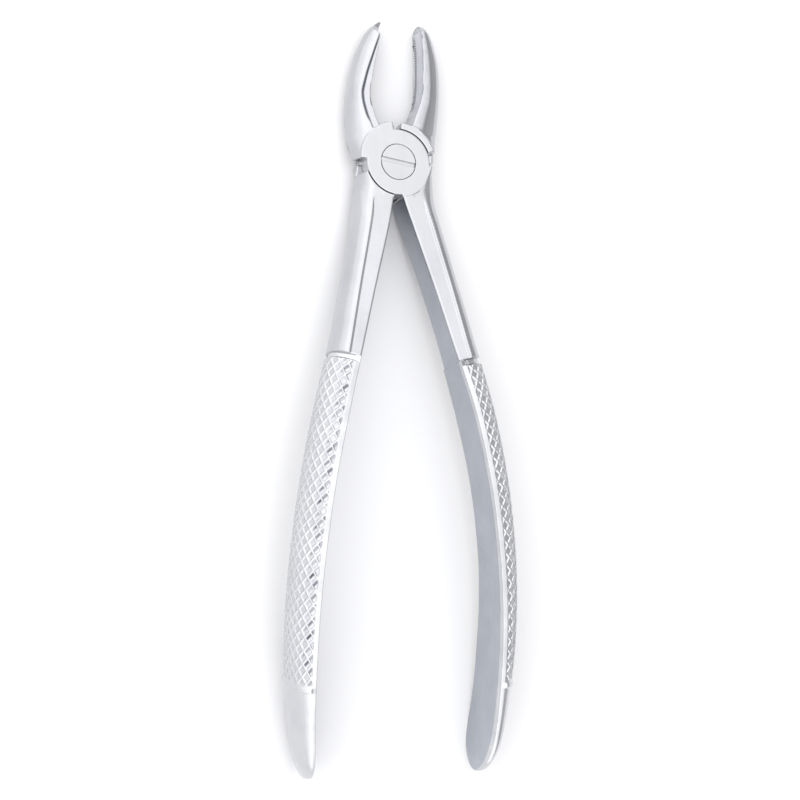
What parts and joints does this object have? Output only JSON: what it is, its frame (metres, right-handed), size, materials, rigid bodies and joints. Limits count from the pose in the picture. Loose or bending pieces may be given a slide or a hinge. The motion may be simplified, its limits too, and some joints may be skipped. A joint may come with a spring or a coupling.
{
  "type": "dental extraction forceps",
  "caption": "Steel dental extraction forceps with a lap joint on a slotted screw, a cusped and a plain serrated beak, and bowed handles with knurled grips.",
  "frame": {"origin": "pivot axis at the back face of the joint, which is the flat that the joint lies on", "axes": "+Z along the pivot axis towards the slotted screw head, +Y towards the beaks, +X across, towards the handle of the half that carries the screw head"},
  "size_m": [0.0528, 0.171, 0.023],
  "materials": {
    "polished_steel": "polished stainless steel",
    "screw_steel": "satin ground stainless steel"
  },
  "bodies": {
    "back": {"back_half": "polished_steel", "pivot_screw": "screw_steel"},
    "front": {"front_half": "polished_steel"}
  },
  "joints": [
    {"name": "pivot", "type": "hinge", "parent": "back", "child": "front", "pos_m": [0, 0, 0.0041], "axis": [0, 0, 1], "range_deg": [-10.5, 20]}
  ]
}
